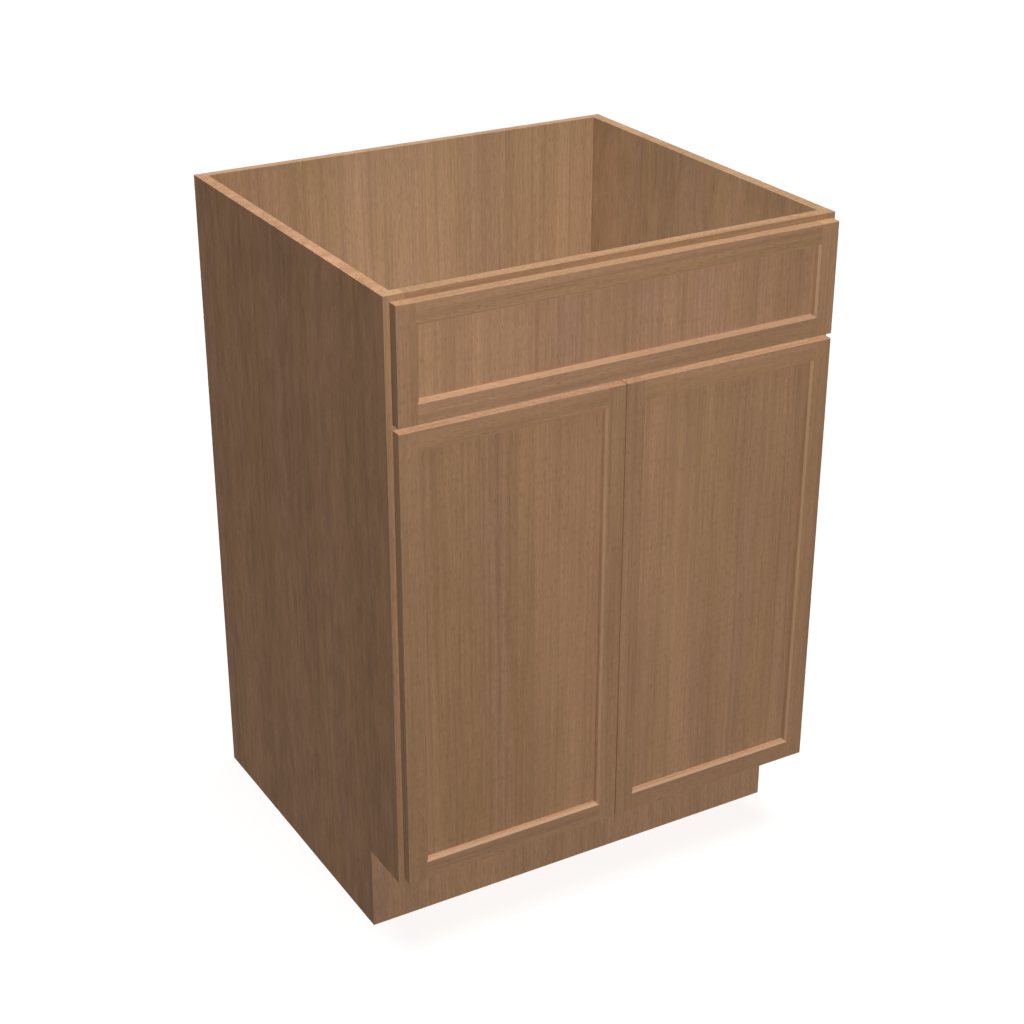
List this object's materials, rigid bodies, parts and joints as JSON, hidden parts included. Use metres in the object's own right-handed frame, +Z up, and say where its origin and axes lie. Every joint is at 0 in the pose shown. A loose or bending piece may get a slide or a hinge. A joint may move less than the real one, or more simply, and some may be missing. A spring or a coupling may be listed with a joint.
{
  "type": "sink base cabinet",
  "caption": "Framed wooden sink base cabinet: open top, false drawer front over paired recessed-panel doors on concealed hinges, and a recessed toe-kick.",
  "frame": {"origin": "on the floor, under the middle of the cabinet's box with its fronts on", "axes": "+Z up, -Y out of the front, +X to the right as seen from the front"},
  "size_m": [0.6096, 0.5504, 0.8763],
  "materials": {
    "stained_oak": "brown stained oak, fine straight grain, satin lacquer",
    "dowel_beech": "bare beech",
    "nickel_steel": "nickel plated, satin",
    "zinc_steel": "zinc plated",
    "bumper_pad": "soft, translucent grey",
    "spacer_nylon": "natural nylon"
  },
  "bodies": {
    "root": {"back_panel": "stained_oak", "false_front_bottom_rail": "stained_oak", "false_front_left_stile": "stained_oak", "false_front_panel": "stained_oak", "false_front_right_stile": "stained_oak", "false_front_screws": "zinc_steel", "false_front_spacers": "spacer_nylon", "false_front_top_rail": "stained_oak", "floor_panel": "stained_oak", "frame_bottom_rail": "stained_oak", "frame_dowels": "dowel_beech", "frame_middle_rail": "stained_oak", "frame_top_rail": "stained_oak", "left_frame_stile": "stained_oak", "left_lower_hinge_arm": "nickel_steel", "left_lower_hinge_plate": "nickel_steel", "left_lower_hinge_plate_screws": "zinc_steel", "left_side_panel": "stained_oak", "left_upper_hinge_arm": "nickel_steel", "left_upper_hinge_plate": "nickel_steel", "left_upper_hinge_plate_screws": "zinc_steel", "right_frame_stile": "stained_oak", "right_lower_hinge_arm": "nickel_steel", "right_lower_hinge_plate": "nickel_steel", "right_lower_hinge_plate_screws": "zinc_steel", "right_side_panel": "stained_oak", "right_upper_hinge_arm": "nickel_steel", "right_upper_hinge_plate": "nickel_steel", "right_upper_hinge_plate_screws": "zinc_steel", "toe_kick_board": "stained_oak"},
    "left_door": {"left_door_bottom_rail": "stained_oak", "left_door_bumpers": "bumper_pad", "left_door_hinge_stile": "stained_oak", "left_door_meeting_stile": "stained_oak", "left_door_panel": "stained_oak", "left_door_top_rail": "stained_oak", "left_lower_hinge_cup": "nickel_steel", "left_lower_hinge_cup_screws": "zinc_steel", "left_lower_hinge_pin": "zinc_steel", "left_upper_hinge_cup": "nickel_steel", "left_upper_hinge_cup_screws": "zinc_steel", "left_upper_hinge_pin": "zinc_steel"},
    "right_door": {"right_door_bottom_rail": "stained_oak", "right_door_bumpers": "bumper_pad", "right_door_hinge_stile": "stained_oak", "right_door_meeting_stile": "stained_oak", "right_door_panel": "stained_oak", "right_door_top_rail": "stained_oak", "right_lower_hinge_cup": "nickel_steel", "right_lower_hinge_cup_screws": "zinc_steel", "right_lower_hinge_pin": "zinc_steel", "right_upper_hinge_cup": "nickel_steel", "right_upper_hinge_cup_screws": "zinc_steel", "right_upper_hinge_pin": "zinc_steel"}
  },
  "joints": [
    {"name": "left_door_swing", "type": "hinge", "parent": "root", "child": "left_door", "pos_m": [-0.29295, -0.2682, 0.42068], "axis": [0, 0, -1], "range_deg": [0, 100]},
    {"name": "right_door_swing", "type": "hinge", "parent": "root", "child": "right_door", "pos_m": [0.29295, -0.2682, 0.42068], "axis": [0, 0, 1], "range_deg": [0, 100]}
  ]
}
